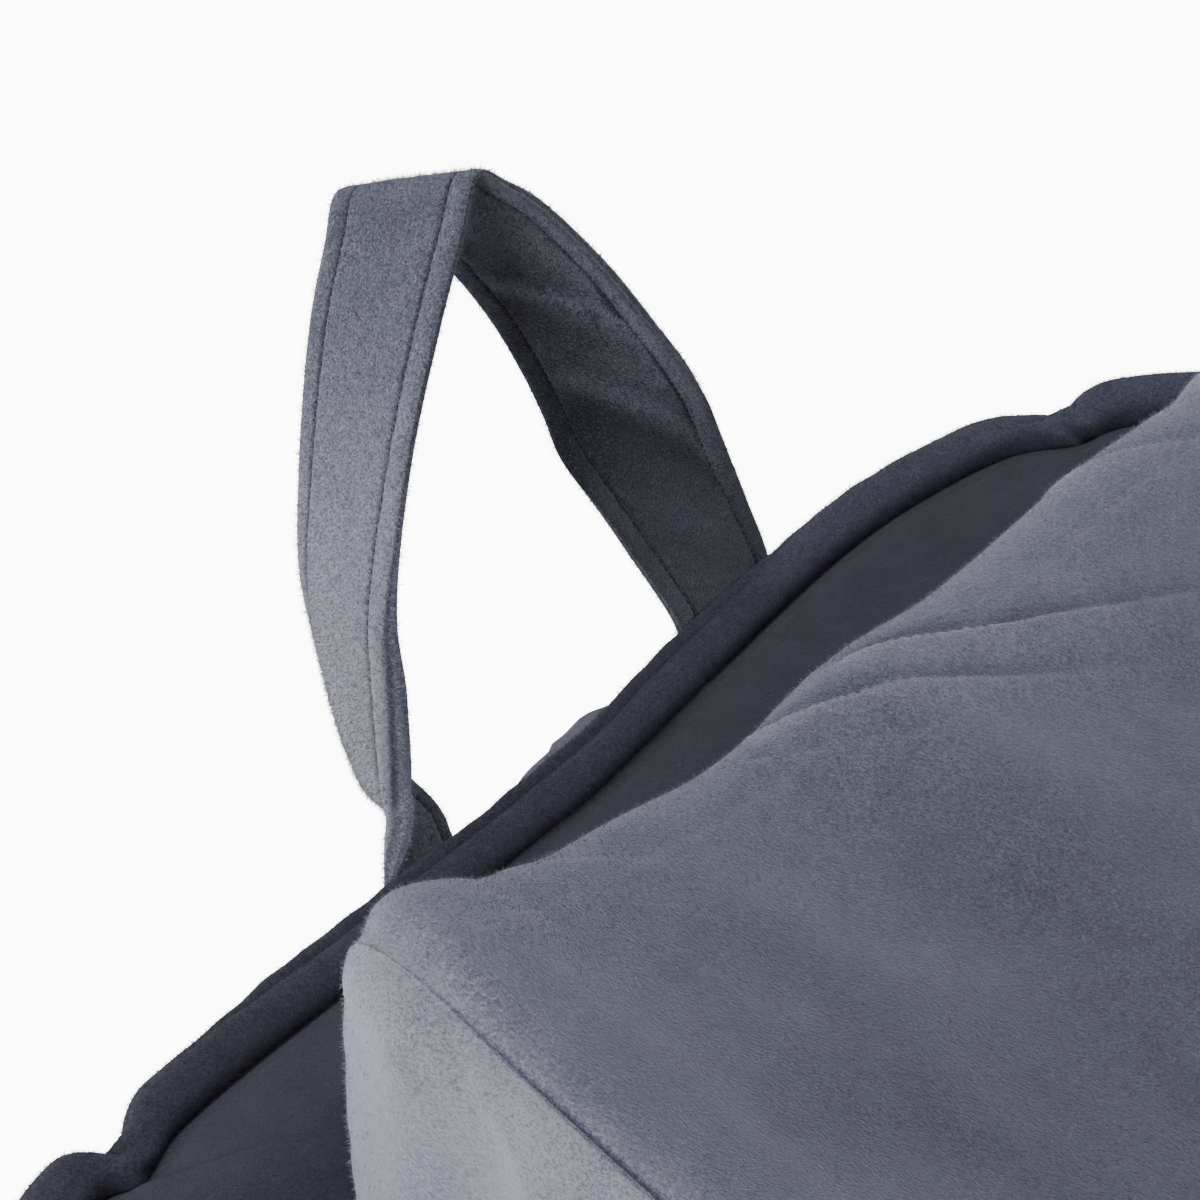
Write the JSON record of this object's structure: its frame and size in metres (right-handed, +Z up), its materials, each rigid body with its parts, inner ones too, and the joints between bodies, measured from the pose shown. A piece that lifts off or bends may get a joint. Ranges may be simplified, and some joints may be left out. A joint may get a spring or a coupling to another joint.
{
  "type": "body pillow with head wedge",
  "caption": "Long boxed velvet pad lying on its back, with rolled piping round its top seam, a head wedge and a folded strap handle at the head end.",
  "frame": {"origin": "middle of the flat underside, which rests on the surface", "axes": "+Z up, +Y along the pad towards the head end with the wedge and the handle, +X across it"},
  "size_m": [0.6604, 1.2948, 0.298],
  "materials": {
    "velvet_panel": "short pile velvet, blue grey",
    "velvet_piping": "short pile velvet over a thick soft roll, blue grey",
    "velvet_wedge": "short pile velvet, brushed in patches, blue grey",
    "velvet_strap": "short pile velvet, topstitched along both edges, blue grey"
  },
  "bodies": {
    "root": {"pad": "velvet_panel", "piping": "velvet_piping", "head_wedge": "velvet_wedge", "handle": "velvet_strap"}
  },
  "joints": []
}
